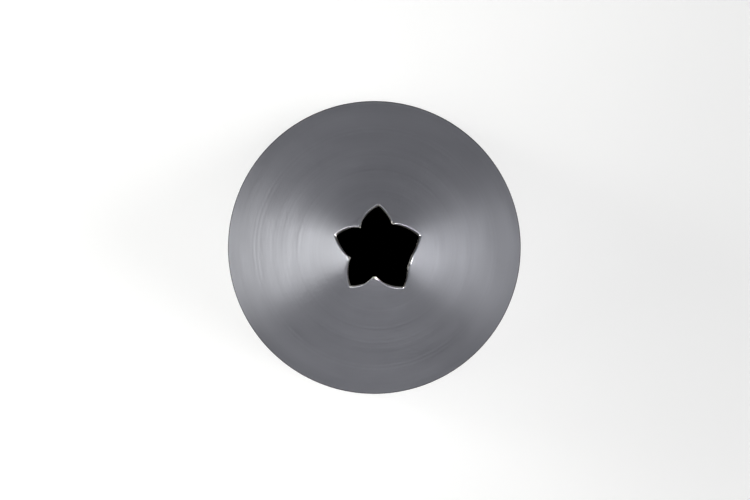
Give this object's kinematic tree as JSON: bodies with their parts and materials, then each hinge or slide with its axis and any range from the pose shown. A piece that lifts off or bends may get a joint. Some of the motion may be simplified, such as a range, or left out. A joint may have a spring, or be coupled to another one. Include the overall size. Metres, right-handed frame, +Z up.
{
  "type": "piping nozzle",
  "caption": "Open-star piping nozzle: a hollow straight cone of thin satin steel, notched at its narrow end into pointed teeth around a star-shaped mouth.",
  "frame": {"origin": "centre of the wide end, in the plane it stands on", "axes": "+Z up the cone's axis, from the wide end to the teeth; +X to the picture's right and +Y to its top, seen from in front of the teeth"},
  "size_m": [0.035, 0.035, 0.05],
  "materials": {
    "satin_steel": "fine satin, turned around the cone; bright bare metal on the cut edges of the teeth"
  },
  "bodies": {
    "root": {"nozzle_shell": "satin_steel"}
  },
  "joints": []
}
